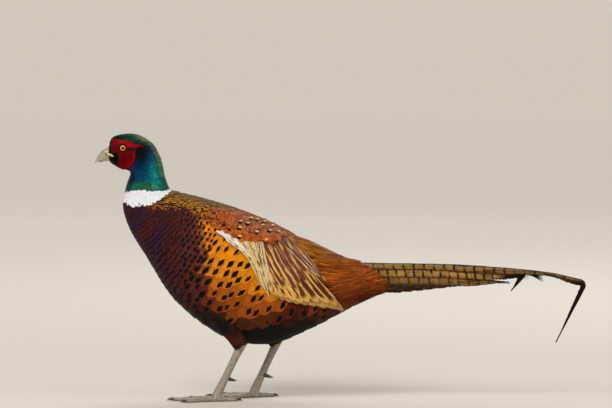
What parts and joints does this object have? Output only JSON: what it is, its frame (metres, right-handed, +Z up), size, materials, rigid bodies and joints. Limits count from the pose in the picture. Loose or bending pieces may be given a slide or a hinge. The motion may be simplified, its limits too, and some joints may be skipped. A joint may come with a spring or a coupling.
{
  "type": "common pheasant",
  "caption": "Life-size standing common pheasant cock with a folded wing on each side, a long tail whose worn tip hooks down, a white neck ring and a red face.",
  "frame": {"origin": "on the floor, at the middle of the bounding box's underside", "axes": "+Z up, -X the way the bird faces, +X along its tail, -Y its left side, which the picture shows"},
  "size_m": [0.6129, 0.1172, 0.333],
  "materials": {
    "dark_plumage": "short dense feathers, dark with a green and blue sheen",
    "white_plumage": "short soft white feathers",
    "body_plumage": "overlapping coppery feathers with dark spots and edges",
    "rump_plumage": "long loose rust-coloured feathers",
    "wing_plumage": "smooth buff and maroon flight feathers",
    "tail_plumage": "long stiff olive-brown feathers with dark bars",
    "face_skin": "bare red skin with small bumps",
    "bill_horn": "pale worn horn, satin",
    "eye_iris": "wet and clear over a yellow iris",
    "leg_scales": "dry grey-brown scales",
    "claw_horn": "dark horn"
  },
  "bodies": {
    "root": {"bill_lower": "bill_horn", "bill_upper": "bill_horn", "claw_hind_left": "claw_horn", "claw_hind_right": "claw_horn", "claw_inner_left": "claw_horn", "claw_inner_right": "claw_horn", "claw_middle_left": "claw_horn", "claw_middle_right": "claw_horn", "claw_outer_left": "claw_horn", "claw_outer_right": "claw_horn", "eye_left": "eye_iris", "eye_right": "eye_iris", "face_left": "face_skin", "face_right": "face_skin", "flight_feathers_left": "wing_plumage", "flight_feathers_right": "wing_plumage", "foot_left": "leg_scales", "foot_right": "leg_scales", "head": "dark_plumage", "neck": "dark_plumage", "neck_ring": "white_plumage", "rump": "rump_plumage", "shank_left": "leg_scales", "shank_right": "leg_scales", "spur_left": "claw_horn", "spur_right": "claw_horn", "tail_feather_1_left": "tail_plumage", "tail_feather_1_right": "tail_plumage", "tail_feather_2_left": "tail_plumage", "tail_feather_2_right": "tail_plumage", "tail_feather_3_left": "tail_plumage", "tail_feather_3_right": "tail_plumage", "tail_feather_4_left": "tail_plumage", "tail_feather_4_right": "tail_plumage", "tail_feather_5_left": "tail_plumage", "tail_feather_5_right": "tail_plumage", "tail_feather_6_left": "tail_plumage", "tail_feather_6_right": "tail_plumage", "tail_feather_7_left": "tail_plumage", "tail_feather_7_right": "tail_plumage", "tail_feather_8_left": "tail_plumage", "tail_feather_8_right": "tail_plumage", "tail_feather_9_left": "tail_plumage", "tail_feather_9_right": "tail_plumage", "thigh_left": "body_plumage", "thigh_right": "body_plumage", "trunk": "body_plumage", "wing_coverts_left": "wing_plumage", "wing_coverts_right": "wing_plumage"}
  },
  "joints": []
}
